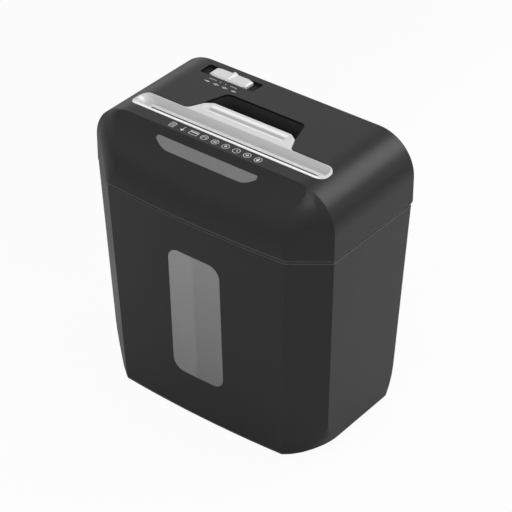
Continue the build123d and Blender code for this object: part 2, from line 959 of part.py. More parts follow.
def make_head_base():
    deck = extrude(Face(plan_at(head_low, deck_inset)), deck_thickness, dir=(0, 0, 1))
    skirt = extrude(Face(plan_at(head_low, skirt_inset)), skirt_depth, dir=(0, 0, -1))
    skirt -= extrude(Face(plan_at(head_low, skirt_inset + skirt_wall)), skirt_depth + over, dir=(0, 0, -1))
    base = deck + skirt
    notch_x = post_width / 2 + post_notch_gap
    base -= block(
        (plunger_x - notch_x, plunger_x + notch_x), (plunger_y, mouth_rear_y),
        (head_low - skirt_depth - over, post_top() + post_notch_gap),
    )
    through = (head_low - over, deck_top + over)
    base -= block((-outlet_half_length, outlet_half_length), (outlet_front_y, outlet_rear_y), through)
    guide_high = deck_top + plunger_guide_height
    base += rod_z(head_low, guide_high, plunger_x, plunger_y, plunger_guide_radius)
    base -= rod_z(through[0], guide_high + over, plunger_x, plunger_y, plunger_radius + running_gap)
    base -= [rod_z(*through, x, y, screw_radius) for x, y in cover_screw_places() + tab_screw_places()]
    for x, y in standoff_places():
        base += rod_z(head_low, board_low(), x, y, standoff_radius)
        base -= rod_z(deck_top, board_low() + over, x, y, screw_radius)
    return base


def screw(x, y, seat, length, direction):
    """Pan-head screw whose head sits on the seat and whose shank runs along the direction."""
    head = sorted((seat, seat - direction * screw_head_height))
    shank = sorted((seat, seat + direction * length))
    return rod_z(*head, x, y, screw_head_radius) + rod_z(*shank, x, y, screw_radius - seat_gap)


def make_cover_screws():
    return [screw(x, y, head_low, deck_thickness + screw_reach, 1) for x, y in cover_screw_places()]


def make_plate_screws():
    return [screw(x, y, head_low, deck_thickness + tab_thickness, 1) for x, y in tab_screw_places()]


def make_board_screws():
    seat = board_low() + board_thickness
    length = board_thickness + board_standoff - board_screw_gap
    return [screw(x, y, seat, length, -1) for x, y in standoff_places()]


def frame_plate(side, rear_y):
    """Steel plate of the cutting block, with foot tabs turned inwards."""
    middle = Pos((plate_front_y + rear_y) / 2, deck_top + plate_height / 2)
    outline = middle * RectangleRounded(rear_y - plate_front_y, plate_height, plate_corner)
    start, end = sorted((side * plate_inner_x, side * plate_outer_x))
    plate = extrude(side_plane(start) * outline, plate_thickness)
    tab_x = sorted((side * (plate_inner_x - tab_length), side * plate_outer_x))
    for y in tab_places():
        plate += block(tab_x, (y - tab_width / 2, y + tab_width / 2), (deck_top, deck_top + tab_thickness))
    for x, y in tab_screw_places():
        plate -= rod_z(deck_top - over, deck_top + tab_thickness + over, x, y, screw_radius)
    for y in (front_shaft_y, rear_shaft_y):
        plate -= rod_x(start - over, end + over, y, shaft_z, bush_radius + seat_gap)
    return plate - [rod_x(start - over, end + over, y, z, rod_radius + seat_gap) for y, z in rod_places()]


def make_frame_plate_left():
    return frame_plate(-1, plate_rear_y)


def make_frame_plate_right():
    plate = frame_plate(1, motor_plate_rear_y)
    start, end = plate_inner_x - over, plate_outer_x + over
    plate -= [rod_x(start, end, y, z, gear_pin_radius + seat_gap) for y, z in pin_places()]
    plate -= rod_x(start, end, motor_y, motor_z, motor_hole_radius)
    return plate - [rod_x(start, end, y, z, screw_radius) for y, z in motor_screw_places()]


def rod_places():
    return [(rod_front_y, rod_low), (rod_front_y, rod_high), (rod_rear_y, rod_low)]


def make_tie_rods():
    reach = plate_outer_x + nut_thickness
    return [rod_x(-reach, reach, y, z, rod_radius) for y, z in rod_places()]


def make_tie_nuts():
    nut = extrude(RegularPolygon(nut_flats / 2, 6, major_radius=False), nut_thickness)
    nut -= Cylinder(rod_radius + seat_gap, 2 * (nut_thickness + over))
    nuts = []
    for y, z in rod_places():
        nuts.append(Plane(origin=(plate_outer_x, y, z), x_dir=(0, 1, 0), z_dir=(1, 0, 0)) * nut)
        nuts.append(Plane(origin=(-plate_outer_x, y, z), x_dir=(0, 1, 0), z_dir=(-1, 0, 0)) * nut)
    return nuts


def make_shaft_bushes():
    bushes = []
    for side in (-1, 1):
        start, end = sorted((side * (plate_inner_x - bush_proud), side * plate_outer_x))
        for y in (front_shaft_y, rear_shaft_y):
            tube = rod_x(start, end, y, shaft_z, bush_radius)
            bushes.append(tube - rod_x(start - over, end + over, y, shaft_z, journal_radius + running_gap))
    return bushes


def cutter_shaft(y, left_end, right_end):
    """Hexagonal shaft with round journals."""
    reach = plate_inner_x - bush_proud - end_play
    hexagon = RegularPolygon(shaft_flats / 2, 6, major_radius=False)
    bar = extrude(Plane(origin=(-reach, y, shaft_z), x_dir=(0, 1, 0), z_dir=(1, 0, 0)) * hexagon, 2 * reach)
    return bar + rod_x(left_end, right_end, y, shaft_z, journal_radius)


def gear_start():
    return plate_outer_x + gear_start_gap


def make_front_cutter_shaft():
    return cutter_shaft(front_shaft_y, -gear_start() - sync_width, plate_outer_x)


def make_rear_cutter_shaft():
    return cutter_shaft(rear_shaft_y, -gear_start() - sync_width, gear_start() + final_width)


def cutter_discs(y, offset):
    """Toothed discs, each with its spacer hub, side by side on the shaft."""
    outline = Circle(disc_radius)
    for index in range(disc_teeth):
        notch = make_face(
            Polyline(
                (disc_radius - disc_notch, 0),
                (disc_radius + over, 0),
                (disc_radius + over, disc_notch_length),
                close=True,
            )
        )
        outline -= Rot(0, 0, 360 / disc_teeth * index) * notch
    bore = RegularPolygon(shaft_flats / 2 + disc_bore_gap, 6, major_radius=False)
    disc = extrude(outline - bore, disc_thickness)
    disc += Pos(0, 0, disc_thickness) * extrude(Circle(disc_hub_radius) - bore, disc_pitch - disc_thickness)
    first = offset - disc_pitch * (disc_count - 1) / 2 - disc_thickness / 2
    planes = [
        Plane(origin=(first + disc_pitch * index, y, shaft_z), x_dir=(0, 1, 0), z_dir=(1, 0, 0))
        for index in range(disc_count)
    ]
    return [plane * disc for plane in planes]


def make_front_cutter_discs():
    return cutter_discs(front_shaft_y, -disc_pitch / 4)


def make_rear_cutter_discs():
    return cutter_discs(rear_shaft_y, disc_pitch / 4)


def comb(shaft_y, away, offset):
    """Comb whose fingers lie between the discs and clear the hubs."""
    bar_near = shaft_y + away * comb_bar_y
    bar_y = sorted((bar_near, bar_near + away * comb_bar_thickness))
    height = (shaft_z - comb_height / 2, shaft_z + comb_height / 2)
    bar = block((-plate_inner_x, plate_inner_x), bar_y, height)
    finger_y = sorted((shaft_y, bar_near + away * comb_bar_thickness / 2))
    first = offset - disc_pitch * disc_count / 2 + disc_pitch
    fingers = []
    for index in range(disc_count - 1):
        x = first + disc_pitch * index
        fingers.append(block((x - comb_finger / 2, x + comb_finger / 2), finger_y, height))
    whole = bar + fingers
    return whole - rod_x(-plate_inner_x, plate_inner_x, shaft_y, shaft_z, disc_hub_radius + comb_hub_gap)


def make_front_stripper():
    return comb(front_shaft_y, -1, -disc_pitch / 4)


def make_rear_stripper():
    return comb(rear_shaft_y, 1, disc_pitch / 4)


def involute(angle):
    return math.tan(angle) - angle


def gear(module, teeth, centre, start, width, tooth_angle, bore):
    """Spur gear about an axis along X. One tooth points along tooth_angle, from +Y towards +Z."""
    pitch = module * teeth / 2
    slant = math.radians(pressure_angle)
    base = pitch * math.cos(slant)
    tip = pitch + addendum * module
    root = pitch - dedendum * module
    half_tooth = (math.pi * module / 2 - backlash) / 2 / pitch
    low = max(base, root)
    flank = []
    for step in range(flank_steps + 1):
        radius = mix(low, tip, step / flank_steps)
        flank.append((radius, half_tooth + involute(slant) - involute(math.acos(base / radius))))
    if root < base:
        flank.insert(0, (root, flank[0][1]))
    points = []
    for index in range(teeth):
        middle = tooth_angle + 2 * math.pi * index / teeth
        points += [(r * math.cos(middle - a), r * math.sin(middle - a)) for r, a in flank]
        points += [(r * math.cos(middle + a), r * math.sin(middle + a)) for r, a in reversed(flank)]
    face = make_face(Polyline(*points, close=True)) - Circle(bore)
    plane = Plane(origin=(start, *centre), x_dir=(0, 1, 0), z_dir=(1, 0, 0))
    return extrude(plane * face, width)


def bearing(start, end):
    """Direction from one gear centre to another."""
    return math.atan2(end[1] - start[1], end[0] - start[0])


def rear_centre():
    return (rear_shaft_y, shaft_z)


def front_centre():
    return (front_shaft_y, shaft_z)


def motor_centre():
    return (motor_y, motor_z)


def second_centre():
    """Second gear's pin, one mesh away from the final gear."""
    reach = final_module * (final_teeth + second_pinion_teeth) / 2
    angle = math.radians(second_gear_angle)
    return (rear_shaft_y + reach * math.cos(angle), shaft_z + reach * math.sin(angle))


def first_centre():
    """First gear's pin, in mesh with both the second gear and the motor's pinion."""
    from_second = second_module * (second_teeth + first_pinion_teeth) / 2
    from_motor = first_module * (first_teeth + motor_teeth) / 2
    span = math.dist(second_centre(), motor_centre())
    along = (from_second**2 - from_motor**2 + span**2) / 2 / span
    across = math.sqrt(from_second**2 - along**2)
    y, z = unit(second_centre(), motor_centre())
    start = second_centre()
    return (start[0] + y * along + z * across, start[1] + z * along - y * across)


def second_layer():
    return gear_start() + final_width + gear_layer_gap


def first_layer():
    return second_layer() + second_width + gear_layer_gap


def gear_end():
    return first_layer() + first_width + gear_layer_gap


def half_pitch(teeth):
    return math.pi / teeth


def make_front_sync_gear():
    start = -gear_start() - sync_width
    bore = journal_radius + seat_gap
    return gear(sync_module, sync_teeth, front_centre(), start, sync_width, 0, bore)


def make_rear_sync_gear():
    start = -gear_start() - sync_width
    bore = journal_radius + seat_gap
    angle = math.pi + half_pitch(sync_teeth)
    return gear(sync_module, sync_teeth, rear_centre(), start, sync_width, angle, bore)


def make_final_gear():
    bore = journal_radius + seat_gap
    angle = bearing(rear_centre(), second_centre())
    return gear(final_module, final_teeth, rear_centre(), gear_start(), final_width, angle, bore)


def make_second_gear():
    centre = second_centre()
    bore = gear_pin_radius + running_gap
    angle = bearing(centre, rear_centre()) + half_pitch(second_pinion_teeth)
    width = final_width + gear_layer_gap
    pinion = gear(final_module, second_pinion_teeth, centre, gear_start(), width, angle, bore)
    angle = bearing(centre, first_centre())
    return pinion + gear(second_module, second_teeth, centre, second_layer(), second_width, angle, bore)


def make_first_gear():
    centre = first_centre()
    bore = gear_pin_radius + running_gap
    angle = bearing(centre, second_centre()) + half_pitch(first_pinion_teeth)
    width = second_width + gear_layer_gap
    pinion = gear(second_module, first_pinion_teeth, centre, second_layer(), width, angle, bore)
    angle = bearing(centre, motor_centre())
    return pinion + gear(first_module, first_teeth, centre, first_layer(), first_width, angle, bore)


def make_motor_pinion():
    centre = motor_centre()
    bore = motor_shaft_radius + seat_gap
    angle = bearing(centre, first_centre()) + half_pitch(motor_teeth)
    return gear(first_module, motor_teeth, centre, first_layer(), first_width, angle, bore)


def pin_places():
    return [second_centre(), first_centre()]


def make_gear_pins():
    return [rod_x(plate_inner_x, gear_end(), y, z, gear_pin_radius) for y, z in pin_places()]


def make_gear_cover():
    final_tip = final_module * (final_teeth / 2 + addendum) + gear_tip_gap
    second_tip = second_module * (second_teeth / 2 + addendum) + gear_tip_gap
    first_tip = first_module * (first_teeth / 2 + addendum) + gear_tip_gap
    motor_tip = first_module * (motor_teeth / 2 + addendum) + gear_tip_gap
    inner_low = min(shaft_z - final_tip, first_centre()[1] - first_tip)
    inner_high = max(second_centre()[1] + second_tip, shaft_z + final_tip)
    inner_front = rear_shaft_y - final_tip
    inner_rear = max(motor_y + motor_tip, first_centre()[0] + first_tip)
    inner_width = inner_rear - inner_front
    inner_height = inner_high - inner_low
    middle = Pos((inner_front + inner_rear) / 2, (inner_low + inner_high) / 2)
    hollow = middle * RectangleRounded(inner_width, inner_height, gear_cover_corner - gear_cover_wall)
    walls = 2 * gear_cover_wall
    outline = middle * RectangleRounded(inner_width + walls, inner_height + walls, gear_cover_corner)
    depth = gear_end() - plate_outer_x
    cover = extrude(side_plane(plate_outer_x) * outline, depth + gear_cover_wall)
    return cover - extrude(side_plane(plate_outer_x - over) * hollow, depth + over)


def motor_screw_places():
    return [(motor_y, motor_z + side * motor_screw_pitch_radius) for side in (-1, 1)]


def motor_rear_x():
    return plate_inner_x - motor_length


def make_motor_can():
    nose = plate_inner_x - motor_cap_thickness
    can = rod_x(motor_rear_x(), plate_inner_x, motor_y, motor_z, motor_radius)
    can -= rod_x(motor_rear_x() - over, nose, motor_y, motor_z, motor_radius - motor_wall)
    can -= rod_x(motor_rear_x(), plate_inner_x + over, motor_y, motor_z, motor_shaft_radius + running_gap)
    through = (nose - over, plate_inner_x + over)
    return can - [rod_x(*through, y, z, screw_radius) for y, z in motor_screw_places()]


def make_motor_end_cap():
    start = motor_rear_x() - motor_cap_thickness
    cap = rod_x(start, motor_rear_x(), motor_y, motor_z, motor_radius)
    through = (start - over, motor_rear_x() + over)
    return cap - rod_x(*through, motor_y, motor_z, motor_shaft_radius + running_gap)


def armature_limits():
    middle = (motor_rear_x() + plate_inner_x - motor_cap_thickness) / 2
    return middle - armature_length / 2, middle + armature_length / 2


def make_motor_magnets():
    start, end = armature_limits()
    outer = motor_radius - motor_wall - seat_gap
    ring = rod_x(start, end, motor_y, motor_z, outer)
    ring -= rod_x(start - over, end + over, motor_y, motor_z, outer - magnet_thickness)
    gap = block(
        (start - over, end + over),
        (motor_y - motor_radius, motor_y + motor_radius),
        (motor_z - magnet_gap / 2, motor_z + magnet_gap / 2),
    )
    return list((ring - gap).solids())


def make_motor_armature():
    start, end = armature_limits()
    core = rod_x(start, end, motor_y, motor_z, armature_radius)
    return core - rod_x(start - over, end + over, motor_y, motor_z, motor_shaft_radius + seat_gap)


def make_motor_shaft():
    start = motor_rear_x() - motor_cap_thickness
    return rod_x(start, first_layer() + first_width, motor_y, motor_z, motor_shaft_radius)


def make_motor_screws():
    screws = []
    for y, z in motor_screw_places():
        head = rod_x(plate_outer_x, plate_outer_x + screw_head_height, y, z, screw_head_radius)
        shank = rod_x(plate_inner_x - motor_cap_thickness, plate_outer_x, y, z, screw_radius - seat_gap)
        screws.append(head + shank)
    return screws


def board_low():
    return deck_top + board_standoff


def make_control_board():
    board = block(
        (board_x - board_length / 2, board_x + board_length / 2),
        (board_y - board_width / 2, board_y + board_width / 2),
        (board_low(), board_low() + board_thickness),
    )
    through = (board_low() - over, board_low() + board_thickness + over)
    return board - [rod_z(*through, x, y, screw_radius) for x, y in standoff_places()]


def make_board_capacitor():
    seat = board_low() + board_thickness
    return rod_z(seat, seat + capacitor_height, capacitor_x, board_y, capacitor_radius)


def make_board_relay():
    seat = board_low() + board_thickness
    return block(
        (relay_x - relay_length / 2, relay_x + relay_length / 2),
        (board_y - relay_width / 2, board_y + relay_width / 2),
        (seat, seat + relay_height),
    )


def sensor_span(width):
    return (sensor_x - width / 2, sensor_x + width / 2)


def make_sensor_bracket():
    """Plate that hangs from the roof of the head, with ears for the lever's pin."""
    plate_y = (sensor_bracket_y, sensor_bracket_y + sensor_bracket_thickness)
    bracket = block(sensor_span(sensor_bracket_width), plate_y, (sensor_switch_z, head_top - head_wall))
    ear_y = (lever_pivot_y - lever_hub_radius, sensor_bracket_y)
    ear_z = (lever_pivot_z - lever_hub_radius, lever_pivot_z + lever_hub_radius)
    start, end = sensor_span(sensor_switch_width + 2 * (sensor_ear_gap + lever_ear))
    bracket += block((start, start + lever_ear), ear_y, ear_z)
    bracket += block((end - lever_ear, end), ear_y, ear_z)
    return bracket + rod_x(start, end, lever_pivot_y, lever_pivot_z, lever_pivot_radius)


def make_paper_switch():
    return block(
        sensor_span(sensor_switch_width),
        (sensor_bracket_y - sensor_switch_depth, sensor_bracket_y),
        (sensor_switch_z, sensor_switch_z + sensor_switch_height),
    )


def make_paper_lever():
    """Lever on the bracket's pin, with its tip in the paper's path."""
    span = sensor_span(lever_width)
    hub = rod_x(*span, lever_pivot_y, lever_pivot_z, lever_hub_radius)
    arm = block(
        span, (throat_y - throat_gap / 2, lever_pivot_y),
        (lever_pivot_z - lever_thickness / 2, lever_pivot_z + lever_thickness / 2),
    )
    through = (span[0] - over, span[1] + over)
    bore_radius = lever_pivot_radius + running_gap
    return hub + arm - rod_x(*through, lever_pivot_y, lever_pivot_z, bore_radius)


def plunger_low():
    return head_low - plunger_gap_below_deck()


def make_bin_plunger():
    rod = rod_z(plunger_low(), plunger_low() + plunger_length, plunger_x, plunger_y, plunger_radius)
    collar_low = deck_top + plunger_guide_height + plunger_gap
    collar_high = collar_low + plunger_collar_height
    return rod + rod_z(collar_low, collar_high, plunger_x, plunger_y, plunger_collar_radius)


def make_bin_switch():
    """Microswitch over the plunger, on a leg that stands on the deck."""
    low = plunger_low() + plunger_length + plunger_travel + plunger_gap
    x = (plunger_x - bin_switch_width / 2, plunger_x + bin_switch_width / 2)
    near_y = plunger_y - plunger_guide_radius
    leg_y = plunger_y + plunger_guide_radius + bin_switch_leg_gap
    far_y = plunger_y + bin_switch_depth
    body = block(x, (near_y, far_y), (low, low + bin_switch_height))
    return body + block(x, (leg_y, far_y), (deck_top, low + over))


def make_cord_gland():
    inner_y = head_rear_y - head_wall
    start = inner_y - gland_flange
    ring = rod_y(start, head_rear_y, gland_x, gland_z, gland_radius - seat_gap)
    ring += rod_y(start, inner_y, gland_x, gland_z, gland_radius + gland_lip)
    return ring - rod_y(start - over, head_rear_y + over, gland_x, gland_z, gland_bore)


nodes = {
    "bin_shell": make_bin_shell,
    "bin_window": make_bin_window,
    "bin_feet": make_bin_feet,
    "head_cover": make_head_cover,
    "throat_trim": make_throat_trim,
    "handle_well": make_handle_well,
    "badge_plate": make_badge_plate,
    "switch_tray": make_switch_tray,
    "switch_knob": make_switch_knob,
    "mode_switch": make_mode_switch,
    "head_base": make_head_base,
    "cover_screws": make_cover_screws,
    "plate_screws": make_plate_screws,
    "frame_plate_left": make_frame_plate_left,
    "frame_plate_right": make_frame_plate_right,
    "tie_rods": make_tie_rods,
    "tie_nuts": make_tie_nuts,
    "shaft_bushes": make_shaft_bushes,
    "front_cutter_shaft": make_front_cutter_shaft,
    "front_cutter_discs": make_front_cutter_discs,
    "front_sync_gear": make_front_sync_gear,
    "rear_cutter_shaft": make_rear_cutter_shaft,
    "rear_cutter_discs": make_rear_cutter_discs,
    "rear_sync_gear": make_rear_sync_gear,
    "final_gear": make_final_gear,
    "front_stripper": make_front_stripper,
    "rear_stripper": make_rear_stripper,
    "second_gear": make_second_gear,
    "first_gear": make_first_gear,
    "gear_pins": make_gear_pins,
    "gear_cover": make_gear_cover,
    "motor_can": make_motor_can,
    "motor_end_cap": make_motor_end_cap,
    "motor_magnets": make_motor_magnets,
    "motor_armature": make_motor_armature,
    "motor_shaft": make_motor_shaft,
    "motor_pinion": make_motor_pinion,
    "motor_screws": make_motor_screws,
    "control_board": make_control_board,
    "board_capacitor": make_board_capacitor,
    "board_relay": make_board_relay,
    "board_screws": make_board_screws,
    "sensor_bracket": make_sensor_bracket,
    "paper_switch": make_paper_switch,
    "paper_lever": make_paper_lever,
    "bin_plunger": make_bin_plunger,
    "bin_switch": make_bin_switch,
    "cord_gland": make_cord_gland,
}

# Every piece is moved along Y, so that the middle of the part's depth is over the origin.
os.makedirs("parts", exist_ok=True)
for name, make in nodes.items():
    piece = make()
    solids = piece if isinstance(piece, list) else [piece]
    placed = [Pos(0, -middle_y, 0) * solid for solid in solids]
    export_step(Compound(children=placed) if len(placed) > 1 else placed[0], f"parts/{name}.step")
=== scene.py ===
import json
import math

import bmesh
import bpy
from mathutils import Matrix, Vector


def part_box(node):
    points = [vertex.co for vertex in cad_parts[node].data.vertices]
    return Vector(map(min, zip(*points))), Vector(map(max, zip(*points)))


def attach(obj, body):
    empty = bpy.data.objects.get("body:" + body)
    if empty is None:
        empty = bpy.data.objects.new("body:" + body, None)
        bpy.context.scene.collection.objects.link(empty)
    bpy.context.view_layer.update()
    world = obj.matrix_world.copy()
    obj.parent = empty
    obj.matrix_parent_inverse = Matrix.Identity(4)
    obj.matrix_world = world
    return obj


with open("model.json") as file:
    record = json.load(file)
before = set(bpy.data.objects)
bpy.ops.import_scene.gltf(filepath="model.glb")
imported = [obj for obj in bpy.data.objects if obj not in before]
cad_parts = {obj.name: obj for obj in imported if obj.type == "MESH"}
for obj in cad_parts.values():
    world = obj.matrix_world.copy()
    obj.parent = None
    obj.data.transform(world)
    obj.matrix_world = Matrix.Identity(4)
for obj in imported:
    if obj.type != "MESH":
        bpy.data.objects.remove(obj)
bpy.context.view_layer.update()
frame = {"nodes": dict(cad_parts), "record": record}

nodes = frame["nodes"]
scene = bpy.context.scene
scene.view_settings.view_transform = "Standard"
MM = 0.001


# Camera at the photograph's angle, in millimetres

CAMERA_PLACE = (1201.5, -1516.8, 1516.2)
CAMERA_AIM = (8.79, 9.71, 173.75)
CAMERA_LENS = 156.05
CAMERA_SENSOR = 36.0


def make_camera():
    data = bpy.data.cameras.new("camera")
    data.sensor_width = CAMERA_SENSOR
    data.lens = CAMERA_LENS
    camera = bpy.data.objects.new("camera", data)
    scene.collection.objects.link(camera)
    camera.location = Vector(CAMERA_PLACE) * MM
    aim = Vector(CAMERA_AIM) * MM
    camera.rotation_euler = (aim - camera.location).to_track_quat("-Z", "Y").to_euler()
    scene.camera = camera


# Material graphs, in metres

PLASTIC_BEVEL = 0.0006
METAL_BEVEL = 0.0003
BEVEL_SAMPLES = 6
EDGE_RANGE = (0.86, 0.995)
TONE_DRIFT = 0.03
GLOSS_DRIFT = 0.012
METAL_DRIFT = 0.006


class Graph:
    """Nodes of one material, built up by name."""

    def __init__(self, name):
        self.name = name
        self.material = bpy.data.materials.new(name)
        self.material.use_nodes = True
        self.tree = self.material.node_tree
        self.shader = self.tree.nodes["Principled BSDF"]
        self.place = self.add("ShaderNodeTexCoord").outputs["Object"]

    def add(self, kind, settings=None, **inputs):
        node = self.tree.nodes.new(kind)
        for key, value in (settings or {}).items():
            setattr(node, key, value)
        for key, value in inputs.items():
            self.feed(node.inputs[key.replace("_", " ")], value)
        return node

    def feed(self, socket, value):
        if isinstance(value, bpy.types.NodeSocket):
            self.tree.links.new(value, socket)
        else:
            socket.default_value = value

    def set(self, **inputs):
        for key, value in inputs.items():
            self.feed(self.shader.inputs[key.replace("_", " ")], value)

    def noise(self, size, detail=2.0, stretch=(1, 1, 1)):
        """Noise whose features are about size metres across."""
        place = self.add("ShaderNodeMapping", Vector=self.place, Scale=stretch).outputs["Vector"]
        return self.add("ShaderNodeTexNoise", Vector=place, Scale=1 / size, Detail=detail).outputs["Fac"]

    def spread(self, value, low, high, start=0.3, end=0.7):
        """Value carried over from start and end to low and high, and held beyond them."""
        node = self.add("ShaderNodeMapRange", Value=value)
        for key, number in (("From Min", start), ("From Max", end), ("To Min", low), ("To Max", high)):
            node.inputs[key].default_value = number
        return node.outputs["Result"]

    def mix(self, factor, first, second):
        node = self.add("ShaderNodeMix", {"data_type": "RGBA"})
        self.feed(node.inputs["Factor"], factor)
        for key, value in (("A", first), ("B", second)):
            sockets = [s for s in node.inputs if s.name == key and s.type == "RGBA"]
            self.feed(sockets[0], value)
        return [s for s in node.outputs if s.type == "RGBA"][0]

    def times(self, first, *others):
        """Product of several values."""
        for other in others:
            node = self.add("ShaderNodeMath", {"operation": "MULTIPLY"})
            self.tree.links.new(first, node.inputs[0])
            self.tree.links.new(other, node.inputs[1])
            first = node.outputs["Value"]
        return first

    def rounded(self, radius):
        """Normal with edges rounded to a radius."""
        return self.add("ShaderNodeBevel", {"samples": BEVEL_SAMPLES}, Radius=radius).outputs["Normal"]

    def edges(self, rounded):
        """1 along rounded edges, 0 on the flats."""
        flat = self.add("ShaderNodeNewGeometry").outputs["Normal"]
        dot = self.add("ShaderNodeVectorMath", {"operation": "DOT_PRODUCT"})
        self.tree.links.new(rounded, dot.inputs[0])
        self.tree.links.new(flat, dot.inputs[1])
        return self.spread(dot.outputs["Value"], 1.0, 0.0, *EDGE_RANGE)

    def bump(self, height, depth, normal=None):
        node = self.add("ShaderNodeBump", Height=height, Distance=depth, Strength=1.0)
        if normal is not None:
            self.tree.links.new(normal, node.inputs["Normal"])
        return node.outputs["Normal"]


def grey(level):
    return (level, level, level, 1.0)


def moulded(name, low, high, rough, grain, depth, edge, radius=PLASTIC_BEVEL):
    """Moulded plastic: fine grain, slight tone and gloss drift, lighter edges: wear on the dark plastics, a
    painted highlight on the silver.
    """
    g = Graph(name)
    rounded = g.rounded(radius)
    tone = g.mix(g.spread(g.noise(TONE_DRIFT, 4.0), 0.0, 1.0), low, high)
    g.set(
        Base_Color=g.mix(g.edges(rounded), tone, edge),
        Roughness=g.spread(g.noise(GLOSS_DRIFT, 3.0), rough[0], rough[1]),
        Normal=g.bump(g.noise(grain, 2.0), depth, rounded),
    )
    return g


def metal(name, low, high, rough, grain, depth, stretch=(1, 1, 1)):
    """Metal with drawn or ground lines."""
    g = Graph(name)
    rounded = g.rounded(METAL_BEVEL)
    lines = g.noise(grain, 3.0, stretch)
    g.set(
        Base_Color=g.mix(g.spread(lines, 0.0, 1.0), low, high),
        Roughness=g.spread(g.noise(METAL_DRIFT, 3.0), rough[0], rough[1]),
        Normal=g.bump(lines, depth, rounded),
    )
    g.shader.inputs["Metallic"].default_value = 1.0
    return g


def make_materials():
    black = moulded("black_plastic", grey(0.0042), grey(0.0050), (0.33, 0.36), 0.0004, 0.00001, grey(0.009))
    black.shader.inputs["Specular IOR Level"].default_value = 0.40
    # painted highlight along the seam
    paint_seam_highlight(black)
    deck = moulded("deck_plastic", grey(0.008), grey(0.012), (0.5, 0.6), 0.0005, 0.00002, grey(0.016))
    deck.shader.inputs["Specular IOR Level"].default_value = 0.2
    well = moulded("well_plastic", grey(0.028), grey(0.033), (0.5, 0.58), 0.0004, 0.000015, grey(0.04))
    well.shader.inputs["Specular IOR Level"].default_value = 0.4
    badge = moulded("badge_grey", grey(0.178), grey(0.192), (0.42, 0.5), 0.0003, 0.000008, grey(0.22))
    # Silver trim: the near-white edge tone is a painted highlight along its edges
    silver = moulded(
        "silver_plastic", grey(0.68), grey(0.72), (0.30, 0.38), 0.00025, 0.000006, grey(0.97), 0.0004
    )
    silver.shader.inputs["Metallic"].default_value = 0.15
    # painted light and shade on the throat trim
    paint_trim_light_and_shade(silver)
    rubber = moulded("foot_rubber", grey(0.015), grey(0.025), (0.75, 0.9), 0.0008, 0.00004, grey(0.03))
    nylon = moulded(
        "gear_nylon", (0.70, 0.69, 0.63, 1), (0.76, 0.75, 0.69, 1), (0.4, 0.5), 0.0004, 0.00001, grey(0.8)
    )
    comb = moulded("comb_plastic", grey(0.05), grey(0.065), (0.5, 0.6), 0.0005, 0.00002, grey(0.09))
    part = moulded("part_black", grey(0.012), grey(0.018), (0.3, 0.4), 0.0003, 0.00001, grey(0.03))
    relay = moulded(
        "relay_blue", (0.03, 0.08, 0.27, 1), (0.04, 0.1, 0.32, 1), (0.3, 0.4), 0.0003, 0.00001,
        (0.1, 0.18, 0.42, 1),
    )
    board = moulded(
        "board_green", (0.02, 0.12, 0.05, 1), (0.03, 0.17, 0.07, 1), (0.3, 0.45), 0.002, 0.00002,
        (0.25, 0.25, 0.12, 1),
    )
    zinc = metal("zinc_steel", grey(0.52), grey(0.64), (0.3, 0.42), 0.002, 0.00001, (1, 1, 0.1))
    cutter = metal("cutter_steel", grey(0.34), grey(0.44), (0.28, 0.4), 0.0008, 0.00001, (0.2, 1, 1))
    bronze = metal("bush_bronze", (0.5, 0.34, 0.16, 1), (0.58, 0.42, 0.22, 1), (0.35, 0.5), 0.0006, 0.00001)
    can = metal("motor_steel", grey(0.42), grey(0.5), (0.32, 0.42), 0.003, 0.00001, (0.1, 1, 1))
    core = metal(
        "motor_core", (0.25, 0.2, 0.17, 1), (0.33, 0.27, 0.22, 1), (0.5, 0.6), 0.001, 0.00003, (8, 1, 1)
    )
    ferrite = metal("magnet_ferrite", grey(0.05), grey(0.07), (0.5, 0.6), 0.0008, 0.00002)
    plastics = [black, deck, well, badge, silver, rubber, nylon, comb, part, relay, board]
    metals = [zinc, cutter, bronze, can, core, ferrite]
    table = {g.name: g.material for g in plastics + metals}
    table["smoke_window"] = smoke_window()
    table["print_white"] = print_white()
    return table


# Painted light and shade that change with the place on a piece

# Painted highlight along the seam between the head and the bin
SEAM_LOW = -1.2 * MM
SEAM_HIGH = 3.1 * MM
SEAM_HIGHLIGHT_TONE = 0.042
# Painted light and shade on the silver throat trim
THROAT_DEPTH = 13.3 * MM
LIP_HEIGHT = 0.8 * MM
LIP_HIGHLIGHT_TONE = 0.95
SLIT_SHADOW_TONE = 0.01
FRONT_RIM_Y = -32.0 * MM
REAR_WALL_Y = -9.0 * MM
REAR_WALL_TOP = 0.9 * MM
REAR_WALL_SHADE_TONE = 0.665
GROOVE_Y = 5.1 * MM
GROOVE_DEPTH = 1.8 * MM
GROOVE_HALF_LENGTH = 48.7 * MM
GROOVE_HALF_WIDTH = 6.35 * MM
GROOVE_HIGHLIGHT_TONE = 0.93
GROOVE_SHADE_TONE = 0.42


def below(g, value, limit, blur):
    """1 below a limit and 0 above it, with a soft step."""
    return g.spread(value, 1.0, 0.0, limit - blur, limit + blur)


def above(g, value, limit, blur):
    """0 below a limit and 1 above it, with a soft step."""
    return g.spread(value, 0.0, 1.0, limit - blur, limit + blur)


def paint_seam_highlight(g):
    """Painted highlight: a pale band along the seam between the head and the bin, standing in for light
    caught on the bin's rim and the head's tucked lower edge.
    """
    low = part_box("head_cover")[0].z
    height = g.add("ShaderNodeSeparateXYZ", Vector=g.place).outputs["Z"]
    line = g.times(
        above(g, height, low + SEAM_LOW, 0.2 * MM),
        below(g, height, low + SEAM_HIGH, 0.3 * MM),
    )
    tone = g.shader.inputs["Base Color"].links[0].from_socket
    g.set(Base_Color=g.mix(line, tone, grey(SEAM_HIGHLIGHT_TONE)))


